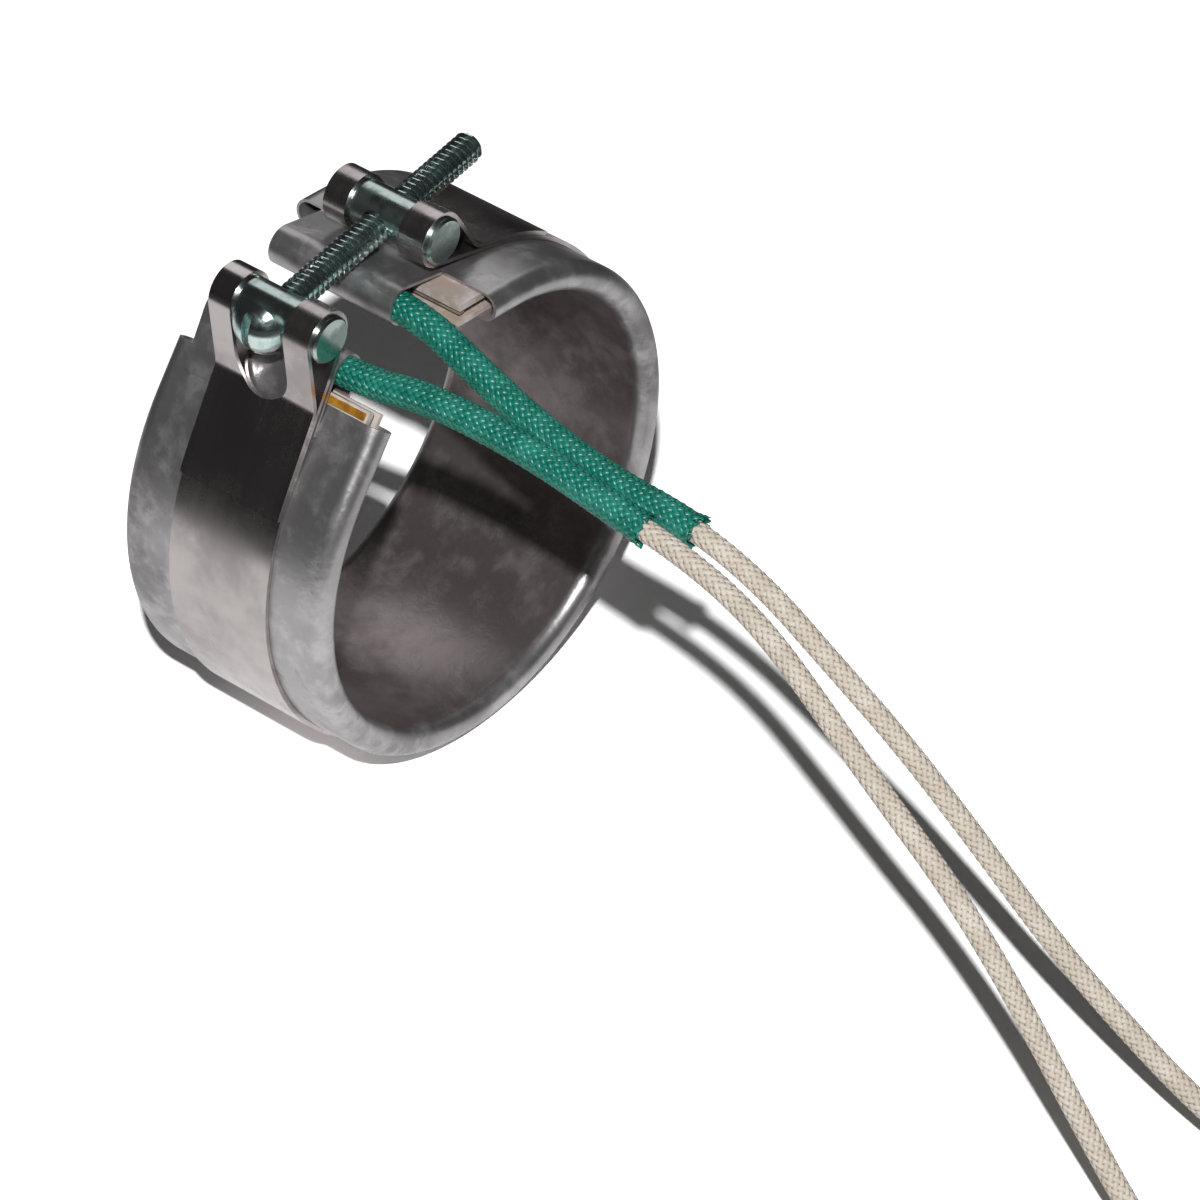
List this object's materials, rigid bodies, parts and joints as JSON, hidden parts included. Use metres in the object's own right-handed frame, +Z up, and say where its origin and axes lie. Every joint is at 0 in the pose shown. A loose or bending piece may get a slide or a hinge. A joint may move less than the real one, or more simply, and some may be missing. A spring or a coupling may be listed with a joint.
{
  "type": "band heater",
  "caption": "Mica band heater: a thin folded steel ring with a bright strap, barrel clamp with slotted screw, and glass-sleeved leads.",
  "frame": {"origin": "centre of the heater's bore", "axes": "+Y along the bore axis, -Y the side the leads leave, +Z up, clamp at the top, screw head towards -X"},
  "size_m": [0.1288, 0.2173, 0.0913],
  "materials": {
    "sheath_steel": "dull aluminised steel",
    "strap_steel": "bright rolled stainless",
    "barrel_steel": "zinc plated",
    "screw_zinc": "zinc plated, blue-green cast",
    "mica": "mica sheet, pale and pinkish",
    "ribbon_alloy": "nickel-chromium ribbon",
    "terminal_brass": "amber strip",
    "crimp_steel": "plated steel",
    "sleeve_green": "braided glass sleeve, teal green",
    "lead_beige": "braided glass lead, beige",
    "strand": "stranded nickel wire"
  },
  "bodies": {
    "band": {"sheath": "sheath_steel", "inner_mica": "mica", "mica_core": "mica", "resistance_ribbon": "ribbon_alloy", "outer_mica": "mica", "strap": "strap_steel", "near_barrel": "barrel_steel", "far_barrel": "barrel_steel", "near_terminal": "terminal_brass", "far_terminal": "terminal_brass", "near_crimp": "crimp_steel", "far_crimp": "crimp_steel", "near_sleeve": "sleeve_green", "far_sleeve": "sleeve_green", "near_lead": "lead_beige", "far_lead": "lead_beige", "near_conductor": "strand", "far_conductor": "strand"},
    "screw": {"clamp_screw": "screw_zinc"}
  },
  "joints": [
    {"name": "screw_turn", "type": "hinge", "parent": "band", "child": "screw", "pos_m": [-0.0267, 0, 0.0425], "axis": [0.9894, 0, 0.1454], "continuous": true}
  ]
}
